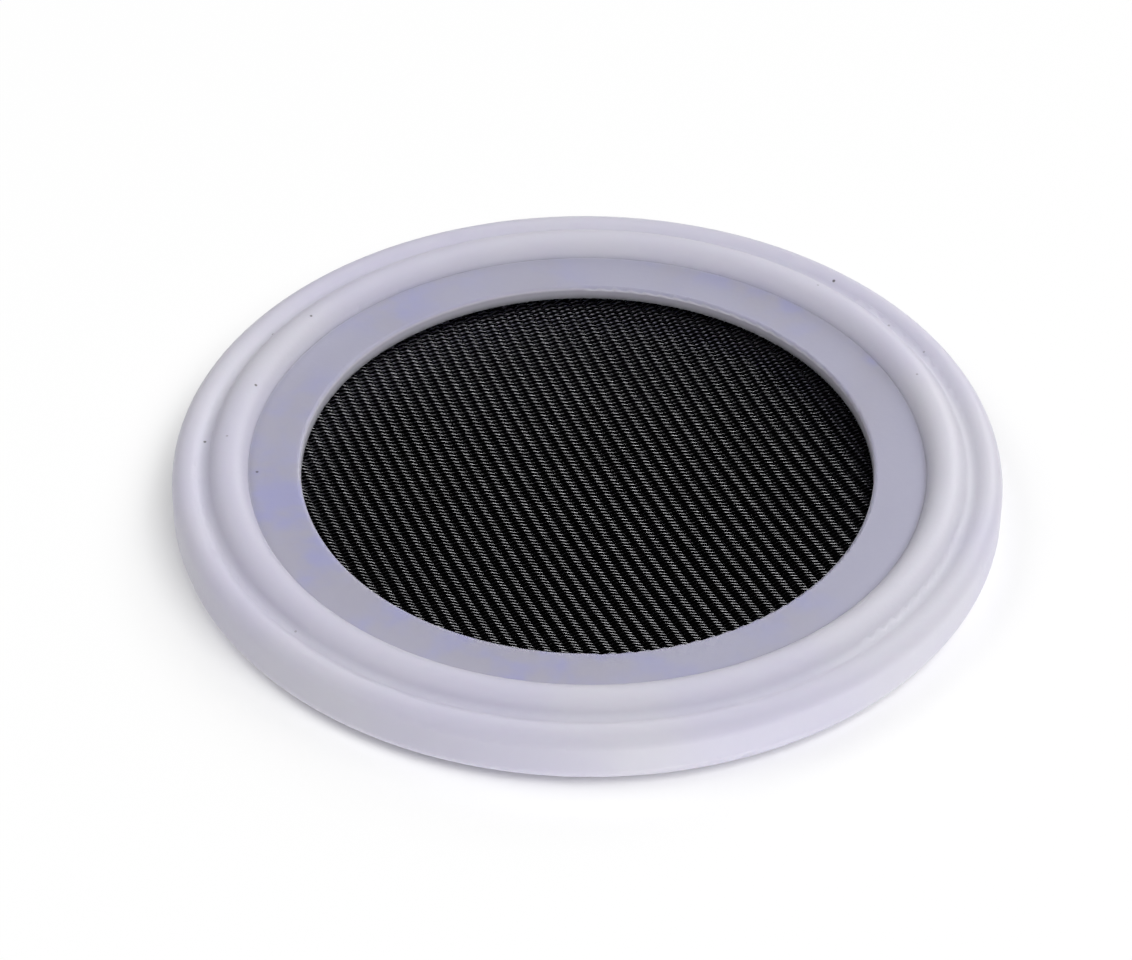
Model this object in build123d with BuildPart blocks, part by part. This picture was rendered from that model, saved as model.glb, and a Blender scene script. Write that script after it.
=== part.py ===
"""Sanitary clamp screen gasket, 1.5 inch size: a moulded ring around a disc of woven wire cloth.

The origin is the middle of the ring, on the mid plane between its two faces. +Z is the pipe's axis.
Sizes are in millimetres.
"""

import os
from math import asin, ceil, degrees, pi, sqrt

from build123d import *

# Ring, seen along the pipe
outer_radius = 25.2
bore_radius = 17.4
bead_circle_radius = 21.82

# Ring, section
land_thickness = 2.56
bead_radius = 1.26
bead_thickness = 4.64
lip_radius = 0.95
lip_thickness = 3.46
valley_thickness = 2.8
valley_radius = 0.5
bore_edge_round = 0.25

# Wire cloth, plain Dutch weave: thick warp wires, and thin shute wires driven close over and under them
warp_wire = 0.23
warp_pitch = 25.4 / 30
shute_wire = 0.18
weave_angle = 22.5

# Wire cloth in the ring: its line on the bore's wall, and how far its middle hangs below that
cloth_level = 0.1
cloth_sag = 1.55
cloth_edge_depth = 1.5
cloth_edge_clearance = 0.05
cloth_face_clearance = 0.02

# Centres of the bead's and the lip's arcs in the section, out from the axis and up from the mid plane
bead_centre = (bead_circle_radius, bead_thickness / 2 - bead_radius)
lip_centre = (outer_radius - lip_radius, lip_thickness / 2 - lip_radius)

# Over a warp wire the cloth is a shute wire, the warp wire and a shute wire thick, which makes a rib.
# Halfway between two warp wires only the slanting shute wires are left, so it has a thin waist there.
rib_thickness = warp_wire + 2 * shute_wire
shute_slope = pi * (warp_wire + shute_wire) / 2 / warp_pitch
waist_thickness = shute_wire * sqrt(1 + shute_slope**2)
rib_half_top = warp_wire / warp_pitch / 2

# The dished cloth is part of a ball, so a ribbed line turned about a level axis of the ball makes it
cloth_radius = bore_radius + cloth_edge_depth
dish_radius = (bore_radius**2 + cloth_sag**2) / (2 * cloth_sag)
dish_height = cloth_level - cloth_sag + dish_radius
rib_turn = degrees(warp_pitch / dish_radius)
side_ribs = ceil(degrees(asin(cloth_radius / dish_radius)) / rib_turn) + 1
half_spread = side_ribs * rib_turn
warp_across = Vector(1, 0, 0).rotate(Axis.Z, weave_angle)
warp_along = Vector(0, 1, 0).rotate(Axis.Z, weave_angle)
dish_axis = Axis((0, 0, dish_height), warp_across)
first_normal = -warp_along.rotate(dish_axis, -half_spread)
first_plane = Plane(dish_axis.position, x_dir=warp_across, z_dir=first_normal)

os.makedirs("parts", exist_ok=True)

# The ring is one turned section, the same above and below the mid plane. Growing the rim's outline
# and shrinking it back rounds the valley between the bead and the lip, however near they are.
with BuildPart() as moulded_ring:
    with BuildSketch(Plane.XZ) as ring_section:
        with Locations(bead_centre):
            Circle(bead_radius)
        with Locations(lip_centre):
            Circle(lip_radius)
        with BuildLine():
            floor_start = (bead_centre[0], valley_thickness / 2)
            floor_end = (lip_centre[0], valley_thickness / 2)
            rim_edge = (outer_radius, lip_centre[1])
            Polyline((bead_centre[0], 0), floor_start, floor_end, rim_edge, (outer_radius, 0), close=True)
        make_face()
        mirror(about=Plane.XZ)
        offset(amount=valley_radius, kind=Kind.ARC)
        offset(amount=-valley_radius, kind=Kind.ARC)
        with Locations(((bore_radius + bead_circle_radius) / 2, 0)):
            Rectangle(bead_circle_radius - bore_radius, land_thickness)
        fillet(ring_section.vertices().group_by(Axis.X)[0], bore_edge_round)
    revolve(axis=Axis.Z)

    # Slot that the cloth's edge fills, with its own dish
    with BuildSketch(Plane.XZ):
        with Locations((0, dish_height)):
            Circle(dish_radius + rib_thickness / 2 + cloth_face_clearance)
            Circle(dish_radius - rib_thickness / 2 - cloth_face_clearance, mode=Mode.SUBTRACT)
        slot_radius = cloth_radius + cloth_edge_clearance
        with Locations((slot_radius / 2, 0)):
            Rectangle(slot_radius, bead_thickness, mode=Mode.INTERSECT)
    revolve(axis=Axis.Z, mode=Mode.SUBTRACT)
moulded_ring.part.label = "moulded_ring"


def ribbed_line(side):
    """The cloth's face on one side, cut across: the flat top of each rib, and the waist after it."""
    corners = ((-rib_half_top, rib_thickness), (rib_half_top, rib_thickness), (0.5, waist_thickness))
    points = []
    for rib in range(-side_ribs, side_ribs + 1):
        for place, thickness in corners:
            spoke = Vector(0, -1).rotate(Axis.Z, (rib + place) * rib_turn)
            points.append(spoke * (dish_radius + side * thickness / 2))
    return points


with BuildPart() as woven_screen:
    with BuildSketch(first_plane):
        with BuildLine():
            Polyline(*ribbed_line(1), *reversed(ribbed_line(-1)), close=True)
        make_face()
    revolve(axis=dish_axis, revolution_arc=2 * half_spread)
    Cylinder(cloth_radius, 2 * bead_thickness, mode=Mode.INTERSECT)
woven_screen.part.label = "woven_screen"

export_step(moulded_ring.part, "parts/moulded_ring.step")
export_step(woven_screen.part, "parts/woven_screen.step")
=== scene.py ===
"""Looks of a sanitary clamp screen gasket: its satin moulded ring, and its screen woven wire by wire."""

from math import cos, radians, sin, sqrt

import bmesh
import bpy
from mathutils import Matrix, Vector


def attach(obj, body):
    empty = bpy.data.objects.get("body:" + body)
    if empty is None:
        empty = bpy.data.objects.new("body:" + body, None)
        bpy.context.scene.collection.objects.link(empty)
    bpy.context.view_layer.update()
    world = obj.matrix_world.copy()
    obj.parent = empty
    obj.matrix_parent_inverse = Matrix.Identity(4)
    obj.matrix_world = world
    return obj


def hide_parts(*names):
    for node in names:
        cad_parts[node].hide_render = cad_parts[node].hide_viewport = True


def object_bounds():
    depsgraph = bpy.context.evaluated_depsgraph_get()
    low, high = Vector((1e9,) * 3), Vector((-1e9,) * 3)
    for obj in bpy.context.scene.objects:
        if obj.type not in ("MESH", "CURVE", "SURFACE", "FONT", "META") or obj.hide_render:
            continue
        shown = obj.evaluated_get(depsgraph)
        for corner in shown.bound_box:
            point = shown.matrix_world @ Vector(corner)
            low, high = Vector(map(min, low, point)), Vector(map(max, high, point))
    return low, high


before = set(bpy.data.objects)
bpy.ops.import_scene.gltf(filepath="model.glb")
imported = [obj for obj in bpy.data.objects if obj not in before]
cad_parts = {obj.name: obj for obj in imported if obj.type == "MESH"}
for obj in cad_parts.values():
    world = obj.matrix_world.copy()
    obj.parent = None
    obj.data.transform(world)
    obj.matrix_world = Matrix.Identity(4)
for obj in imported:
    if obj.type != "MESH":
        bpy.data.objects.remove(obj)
cad_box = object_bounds()

MM = 0.001

# Camera: a long lens about 40 degrees above the ring, level but for a slight roll
CAMERA_ELEVATION = radians(39.65)
CAMERA_ROLL = radians(0.28)
CAMERA_DISTANCE = 0.25
CAMERA_LENS = 130.42
AIM_RIGHT = -1.29 * MM
AIM_UP = -0.24 * MM

# Ring sizes that the materials follow
BORE_RADIUS = 17.4 * MM
BEAD_FOOT_RADIUS = 20.58 * MM

# Silicone rubber. The land is darker: painted shade where the flat land lies low between bead and bore,
# and in part the cloth's edge showing through it.
BODY_COLOURS = ((0.565, 0.55, 0.65, 1), (0.59, 0.58, 0.645, 1))
SHADED_LAND_COLOURS = ((0.385, 0.375, 0.45, 1), (0.35, 0.35, 0.525, 1), (0.395, 0.39, 0.485, 1))
WALL_COLOUR = (0.54, 0.53, 0.6, 1)
# Painted shade on the bore wall, in the corner where it meets the cloth
WALL_SHADE_AT_CLOTH_COLOUR = (0.16, 0.16, 0.18, 1)
SPECK_COLOUR = (0.05, 0.045, 0.04, 1)
SILICONE_IOR = 1.42
LIGHT_REACH = 0.5 * MM

# Blotches, clouds and grain of the silicone, in cells to the metre
BLOTCH_SCALE = 260
CLOUD_SCALE = 75
GRAIN_SCALE = 2600
GRAIN_HEIGHT = 0.03 * MM

# Dirt specks: turn round the pipe's axis in degrees, radius, height and size in mm, darkness
SPECKS = (
    (163.7, 21.32, 2.22, 0.12, 0.8),
    (176.6, 23.37, 1.40, 0.13, 0.8),
    (183.7, 20.03, 1.28, 0.12, 0.7),
    (148.5, 23.21, 1.40, 0.12, 0.8),
    (143.4, 21.68, 2.31, 0.11, 0.8),
    (48.4, 23.80, 1.61, 0.13, 0.8),
    (177.7, 21.92, 2.32, 0.10, 0.4),
    (48.2, 22.05, 2.30, 0.10, 0.4),
    (35.0, 23.30, 1.40, 0.12, 0.4),
    (26.6, 23.62, 1.49, 0.10, 0.4),
    (19.6, 21.69, 2.31, 0.10, 0.4),
    (223.4, 23.19, 1.40, 0.12, 0.4),
)

# Wire cloth, plain Dutch weave, on the same dish as the CAD screen
WARP_WIRE = 0.17 * MM
WARP_PITCH = 25.4 / 30 * MM
SHUTE_WIRE = 0.162 * MM
SHUTE_PITCH = 25.4 / 156 * MM
WEAVE_ANGLE = radians(22.5)
CLOTH_LEVEL = 0.1 * MM
CLOTH_SAG = 1.55 * MM
CLOTH_RADIUS = 18.85 * MM
DISH_RADIUS = (BORE_RADIUS**2 + CLOTH_SAG**2) / (2 * CLOTH_SAG)
DISH_HEIGHT = CLOTH_LEVEL - CLOTH_SAG + DISH_RADIUS
BALL_CENTRE = Vector((0, 0, DISH_HEIGHT))
ACROSS_WARP = Vector((cos(WEAVE_ANGLE), sin(WEAVE_ANGLE), 0))
ALONG_WARP = Vector((-sin(WEAVE_ANGLE), cos(WEAVE_ANGLE), 0))

# A shute wire bends round each warp wire over this reach on both sides, and runs straight between
CREST_BEND = 0.12 * MM
SHUTE_SLOPE = (WARP_WIRE + SHUTE_WIRE) / (WARP_PITCH - CREST_BEND / 2)

# Control points of a warp wire are about this far apart
WARP_STEP = 1.5 * MM

# Pitches left free at the cloth's edge, beyond the last warp wire, shute wire and crest
WARP_MARGIN = 0.2
SHUTE_MARGIN = 3
CREST_MARGIN = 0.35

# The shute wires are split into this many pieces, so that each stays under 200,000 triangles
SHUTE_LOTS = 4

# Steel: black, partly its dark finish and partly painted shade on the weave's flanks and gaps, and bare
# where a wire's surface stands this far off the cloth's middle
BLACK_STEEL_AND_SHADE = (0.006, 0.006, 0.0065, 1)
BARE_STEEL = (0.36, 0.36, 0.372, 1)
BARE_STARTS = 0.03 * MM
BARE_ENDS = 0.065 * MM
PATCH_SCALE = 2200

# Floor: it fades from the ring's shadow to plain white over this reach
FLOOR_RADIUS = 3
SHADOW_REACH = 23 * MM
WHITE_REACH = 31 * MM
WHITE_SHARE = 0.93

# Lamps: azimuth and elevation in degrees, width, height and power, and whether metal mirrors the lamp
LAMP_DISTANCE = 0.5
SKY_STRENGTH = 0.01
LAMPS = {
    "far_right_panel": (57, 25, 0.26, 0.2, 0.9, True),
    "front_panel": (300, 50, 0.3, 0.3, 1.85, False),
    "right_panel": (0, 50, 0.3, 0.3, 0.55, False),
    "left_panel": (180, 50, 0.3, 0.3, 1.0, False),
    "under_panel": (300, -50, 0.3, 0.3, 1.0, True),
}


def add_camera():
    """The photograph's viewpoint."""
    right = Vector((1, 0, 0))
    up = Vector((0, sin(CAMERA_ELEVATION), cos(CAMERA_ELEVATION)))
    back = Vector((0, -cos(CAMERA_ELEVATION), sin(CAMERA_ELEVATION)))
    place = right * AIM_RIGHT + up * AIM_UP + back * CAMERA_DISTANCE
    data = bpy.data.cameras.new("camera")
    data.lens = CAMERA_LENS
    data.sensor_width = 36
    data.clip_start = 0.01
    data.clip_end = 20
    camera = bpy.data.objects.new("camera", data)
    bpy.context.scene.collection.objects.link(camera)
    turn = Matrix((right, up, back)).transposed().to_4x4()
    camera.matrix_world = Matrix.Translation(place) @ turn @ Matrix.Rotation(CAMERA_ROLL, 4, "Z")
    bpy.context.scene.camera = camera


def new_material(name):
    material = bpy.data.materials.new(name)
    material.use_nodes = True
    tree = material.node_tree
    tree.nodes.clear()
    return material, tree


def add_node(tree, kind, inputs=None, **settings):
    """A node with its settings, and with its inputs linked from sockets or set to values."""
    node = tree.nodes.new(kind)
    for key, value in settings.items():
        setattr(node, key, value)
    for key, value in (inputs or {}).items():
        if isinstance(value, bpy.types.NodeSocket):
            tree.links.new(value, node.inputs[key])
        else:
            node.inputs[key].default_value = value
    return node


def math_node(tree, operation, *values):
    return add_node(tree, "ShaderNodeMath", dict(enumerate(values)), operation=operation).outputs[0]


def vector_node(tree, operation, *values):
    return add_node(tree, "ShaderNodeVectorMath", dict(enumerate(values)), operation=operation)


def axis_distance(tree, place):
    """Distance from the pipe's axis."""
    level_place = vector_node(tree, "MULTIPLY", place, (1, 1, 0)).outputs[0]
    return vector_node(tree, "LENGTH", level_place).outputs["Value"]


def noise(tree, place, scale, detail, roughness):
    inputs = {"Vector": place, "Scale": scale, "Detail": detail, "Roughness": roughness}
    return add_node(tree, "ShaderNodeTexNoise", inputs).outputs["Fac"]


def ramp(tree, value, low, high, start=0.0, end=1.0):
    """A smooth step of value from low to high."""
    inputs = {"Value": value, "From Min": low, "From Max": high, "To Min": start, "To Max": end}
    return add_node(tree, "ShaderNodeMapRange", inputs, interpolation_type="SMOOTHSTEP").outputs[0]


def mix_colour(tree, factor, first, second):
    inputs = {0: factor, 6: first, 7: second}
    return add_node(tree, "ShaderNodeMix", inputs, data_type="RGBA").outputs[2]


def speck_group():
    """Node group: the mask of one dirt speck round a centre."""
    group = bpy.data.node_groups.new("speck", "ShaderNodeTree")
    group.interface.new_socket("Position", in_out="INPUT", socket_type="NodeSocketVector")
    group.interface.new_socket("Centre", in_out="INPUT", socket_type="NodeSocketVector")
    group.interface.new_socket("Size", in_out="INPUT", socket_type="NodeSocketFloat")
    group.interface.new_socket("Mask", in_out="OUTPUT", socket_type="NodeSocketFloat")
    given = group.nodes.new("NodeGroupInput").outputs
    distance = vector_node(group, "DISTANCE", given["Position"], given["Centre"]).outputs["Value"]
    share = math_node(group, "DIVIDE", distance, given["Size"])
    add_node(group, "NodeGroupOutput", {"Mask": ramp(group, share, 1.0, 0.5)})
    return group


def ring_material():
    """Satin white silicone rubber, faintly blotchy, with specks."""
    material, tree = new_material("satin_rubber")
    place = add_node(tree, "ShaderNodeTexCoord").outputs["Object"]
    height = add_node(tree, "ShaderNodeSeparateXYZ", {0: place}).outputs["Z"]
    radius = axis_distance(tree, place)
    blotch = noise(tree, place, BLOTCH_SCALE, 3, 0.6)
    cloud = noise(tree, place, CLOUD_SCALE, 2, 0.5)
    fine = noise(tree, place, GRAIN_SCALE, 2, 0.6)

    body = mix_colour(tree, ramp(tree, cloud, 0.35, 0.65), *BODY_COLOURS)
    # Painted shade: the land, inside the bead's foot, gets darker, bluer colours
    shaded_land = mix_colour(tree, ramp(tree, blotch, 0.4, 0.66), *SHADED_LAND_COLOURS[:2])
    shaded_land = mix_colour(tree, ramp(tree, cloud, 0.4, 0.62), shaded_land, SHADED_LAND_COLOURS[2])
    land_shade_mask = ramp(tree, radius, BEAD_FOOT_RADIUS + 0.1 * MM, BEAD_FOOT_RADIUS - 0.15 * MM)
    colour = mix_colour(tree, land_shade_mask, body, shaded_land)

    # Painted shade: the bore wall darkens towards the cloth, in the corner where they meet
    off_cloth = math_node(tree, "ABSOLUTE", math_node(tree, "SUBTRACT", height, CLOTH_LEVEL))
    shade_near_cloth = ramp(tree, off_cloth, 0.8 * MM, 0.1 * MM)
    shaded_wall = mix_colour(tree, shade_near_cloth, WALL_COLOUR, WALL_SHADE_AT_CLOTH_COLOUR)
    on_wall = ramp(tree, radius, BORE_RADIUS + 0.1 * MM, BORE_RADIUS)
    colour = mix_colour(tree, on_wall, colour, shaded_wall)

    speck = speck_group()
    for turn, reach, level, size, darkness in SPECKS:
        centre = Vector((cos(radians(turn)) * reach, sin(radians(turn)) * reach, level)) * MM
        inputs = {"Position": place, "Centre": centre, "Size": size * MM}
        mask = add_node(tree, "ShaderNodeGroup", inputs, node_tree=speck).outputs["Mask"]
        colour = mix_colour(tree, math_node(tree, "MULTIPLY", mask, darkness), colour, SPECK_COLOUR)

    rough = ramp(tree, fine, 0.3, 0.7, 0.42, 0.52)
    bump = {"Height": fine, "Strength": 0.25, "Distance": GRAIN_HEIGHT}
    grain = add_node(tree, "ShaderNodeBump", bump)
    shader = add_node(tree, "ShaderNodeBsdfPrincipled", {
        "Base Color": colour,
        "Roughness": rough,
        "Normal": grain.outputs[0],
        "IOR": SILICONE_IOR,
        "Subsurface Weight": 1.0,
        "Subsurface Radius": (1.0, 0.9, 0.95),
        "Subsurface Scale": LIGHT_REACH,
    })
    add_node(tree, "ShaderNodeOutputMaterial", {"Surface": shader.outputs[0]})
    return material


def finish_ring():
    """The ring keeps its CAD mesh. The two offsets hide its facets where light grazes them."""
    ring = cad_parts["moulded_ring"]
    material = ring_material()
    if not ring.material_slots:
        ring.data.materials.append(material)
    for slot in ring.material_slots:
        slot.material = material
    ring.cycles.shadow_terminator_geometry_offset = 0.3
    ring.cycles.shadow_terminator_offset = 0.2


def steel_material():
    """Steel wire, bare along the tops of the weave on both faces, and black elsewhere: partly its dark
    finish, partly painted shade on the flanks and in the gaps.
    """
    material, tree = new_material("dark_steel_and_painted_shade")
    coordinates = add_node(tree, "ShaderNodeTexCoord").outputs
    distance = vector_node(tree, "DISTANCE", coordinates["Object"], BALL_CENTRE).outputs["Value"]
    lift = math_node(tree, "ABSOLUTE", math_node(tree, "SUBTRACT", distance, DISH_RADIUS))
    high = ramp(tree, lift, BARE_STARTS, BARE_ENDS)
    sideways = vector_node(tree, "DOT_PRODUCT", coordinates["Normal"], ALONG_WARP).outputs["Value"]
    on_top = ramp(tree, math_node(tree, "ABSOLUTE", sideways), 0.6, 0.3)
    # Painted shade: the steel is black off the crests' tops, on the flanks and in the gaps of the weave
    crest_out_of_shade = math_node(tree, "MULTIPLY", high, on_top)
    patch = noise(tree, coordinates["Object"], PATCH_SCALE, 2, 0.7)
    rubbed = ramp(tree, patch, 0.3, 0.7, 0.5, 1.0)
    bare = mix_colour(tree, rubbed, (0, 0, 0, 1), BARE_STEEL)
    colour = mix_colour(tree, crest_out_of_shade, BLACK_STEEL_AND_SHADE, bare)
    rough = ramp(tree, crest_out_of_shade, 0.0, 1.0, 0.6, 0.32)
    shader = add_node(tree, "ShaderNodeBsdfPrincipled", {
        "Base Color": colour,
        "Roughness": rough,
        "Metallic": 1,
        "Specular Tint": (0.3, 0.3, 0.3, 1),
    })
    add_node(tree, "ShaderNodeOutputMaterial", {"Surface": shader.outputs[0]})
    return material


def on_dish(across, along, lift=0.0):
    """The point of the dished cloth at those distances across and along the warp, raised by lift."""
    level_place = ACROSS_WARP * across + ALONG_WARP * along
    down = sqrt(DISH_RADIUS**2 - across**2 - along**2)
    spoke = (level_place - Vector((0, 0, down))) / DISH_RADIUS
    return BALL_CENTRE + spoke * (DISH_RADIUS - lift)


def wire_curve(name, diameter, lines, resolution, roundness, order):
    """One piece of many wires: each line is the list of control points of one wire."""
    curve = bpy.data.curves.new(name, "CURVE")
    curve.dimensions = "3D"
    curve.bevel_depth = diameter / 2
    curve.bevel_resolution = roundness
    curve.use_fill_caps = True
    curve.resolution_u = resolution
    for points in lines:
        spline = curve.splines.new("NURBS")
        spline.points.add(len(points) - 1)
        for target, point in zip(spline.points, points):
            target.co = (*point, 1)
        spline.order_u = order
        spline.use_endpoint_u = True
        spline.resolution_u = resolution
        spline.use_smooth = True
    piece = bpy.data.objects.new(name, curve)
    bpy.context.scene.collection.objects.link(piece)
    return piece


def warp_line(row):
    """Control points of warp wire number row, from edge to edge."""
    across = DISH_RADIUS * sin(row * WARP_PITCH / DISH_RADIUS)
    half = sqrt(CLOTH_RADIUS**2 - across**2)
    steps = max(4, round(half / WARP_STEP))
    return [on_dish(across, half * (2 * step / steps - 1)) for step in range(steps + 1)]


def shute_line(row):
    """Control points of shute wire number row: straight between crests, bent round each warp wire."""
    along = DISH_RADIUS * sin(row * SHUTE_PITCH / DISH_RADIUS)
    half = sqrt(CLOTH_RADIUS**2 - along**2)
    last = int(half / WARP_PITCH - CREST_MARGIN)
    points = [on_dish(-half, along)]
    for warp in range(-last, last + 1):
        side = 1 if (warp + row) % 2 else -1
        for reach in (-CREST_BEND, 0, CREST_BEND):
            across = DISH_RADIUS * sin((warp * WARP_PITCH + reach) / DISH_RADIUS)
            lift = side * SHUTE_SLOPE * (WARP_PITCH / 2 - abs(reach))
            points.append(on_dish(across, along, lift))
    points.append(on_dish(half, along))
    return points


def add_screen():
    """The cloth's wires, from edge to edge inside the ring's slot. They replace the CAD screen."""
    last_warp = int(CLOTH_RADIUS / WARP_PITCH - WARP_MARGIN)
    last_shute = int(CLOTH_RADIUS / SHUTE_PITCH - SHUTE_MARGIN)
    warp_lines = [warp_line(row) for row in range(-last_warp, last_warp + 1)]
    shute_lines = [shute_line(row) for row in range(-last_shute, last_shute + 1)]
    pieces = [wire_curve("warp_wires", WARP_WIRE, warp_lines, resolution=2, roundness=2, order=4)]
    for lot in range(SHUTE_LOTS):
        name = "shute_wires_%d" % (lot + 1)
        start, end = (edge * len(shute_lines) // SHUTE_LOTS for edge in (lot, lot + 1))
        lines = shute_lines[start:end]
        pieces.append(wire_curve(name, SHUTE_WIRE, lines, resolution=2, roundness=1, order=3))
    steel = steel_material()
    for piece in pieces:
        piece.data.materials.append(steel)
        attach(piece, "root")
        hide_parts("woven_screen")


def floor_material():
    """White floor that keeps the ring's shadow. From below it is clear, also to the lamp there."""
    material, tree = new_material("white_floor")
    path = add_node(tree, "ShaderNodeLightPath").outputs
    seen = math_node(tree, "MAXIMUM", path["Is Camera Ray"], path["Is Glossy Ray"])
    seen = math_node(tree, "MAXIMUM", seen, path["Is Transmission Ray"])
    reach = axis_distance(tree, add_node(tree, "ShaderNodeTexCoord").outputs["Object"])
    whiteness = ramp(tree, reach, SHADOW_REACH, WHITE_REACH, 0.0, WHITE_SHARE)
    below = add_node(tree, "ShaderNodeNewGeometry").outputs["Backfacing"]
    clear = math_node(tree, "MAXIMUM", below, path["Is Shadow Ray"])

    paint = add_node(tree, "ShaderNodeBsdfDiffuse", {"Color": (0.9, 0.9, 0.9, 1)}).outputs[0]
    glow = add_node(tree, "ShaderNodeEmission", {"Color": (1, 1, 1, 1), "Strength": 1.0}).outputs[0]
    nothing = add_node(tree, "ShaderNodeBsdfTransparent").outputs[0]
    share = math_node(tree, "MULTIPLY", seen, whiteness)
    top = add_node(tree, "ShaderNodeMixShader", {0: share, 1: paint, 2: glow}).outputs[0]
    whole = add_node(tree, "ShaderNodeMixShader", {0: clear, 1: top, 2: nothing}).outputs[0]
    add_node(tree, "ShaderNodeOutputMaterial", {"Surface": whole})
    return material


def add_floor():
    mesh = bpy.data.meshes.new("floor")
    shape = bmesh.new()
    bmesh.ops.create_circle(shape, cap_ends=True, segments=96, radius=FLOOR_RADIUS)
    bmesh.ops.translate(shape, vec=(0, 0, cad_box[0].z), verts=shape.verts)
    shape.to_mesh(mesh)
    shape.free()
    floor = bpy.data.objects.new("floor", mesh)
    bpy.context.scene.collection.objects.link(floor)
    mesh.materials.append(floor_material())


def add_lamp(name, azimuth, elevation, width, height, power, mirrored):
    """A soft panel that faces the ring. Azimuth is from +X towards +Y, as on a map."""
    data = bpy.data.lights.new(name, "AREA")
    data.shape = "RECTANGLE"
    data.size, data.size_y = width, height
    data.energy = power
    lamp = bpy.data.objects.new(name, data)
    a, e = radians(azimuth), radians(elevation)
    toward = Vector((cos(a) * cos(e), sin(a) * cos(e), sin(e)))
    lamp.location = toward * LAMP_DISTANCE
    lamp.visible_glossy = mirrored
    lamp.rotation_mode = "QUATERNION"
    lamp.rotation_quaternion = toward.to_track_quat("Z", "Y")
    bpy.context.scene.collection.objects.link(lamp)


def add_sky():
    """A dim, even sky, which is white to the camera alone."""
    world = bpy.data.worlds.new("studio")
    world.use_nodes = True
    tree = world.node_tree
    tree.nodes.clear()
    seen = add_node(tree, "ShaderNodeLightPath").outputs["Is Camera Ray"]
    level = math_node(tree, "MAXIMUM", seen, SKY_STRENGTH)
    sky = add_node(tree, "ShaderNodeBackground", {"Color": (1, 1, 1, 1), "Strength": level})
    add_node(tree, "ShaderNodeOutputWorld", {"Surface": sky.outputs[0]})
    bpy.context.scene.world = world


add_camera()
finish_ring()
add_screen()
add_floor()
add_sky()
for lamp_name, lamp_values in LAMPS.items():
    add_lamp(lamp_name, *lamp_values)

bpy.context.scene.view_settings.view_transform = "Standard"
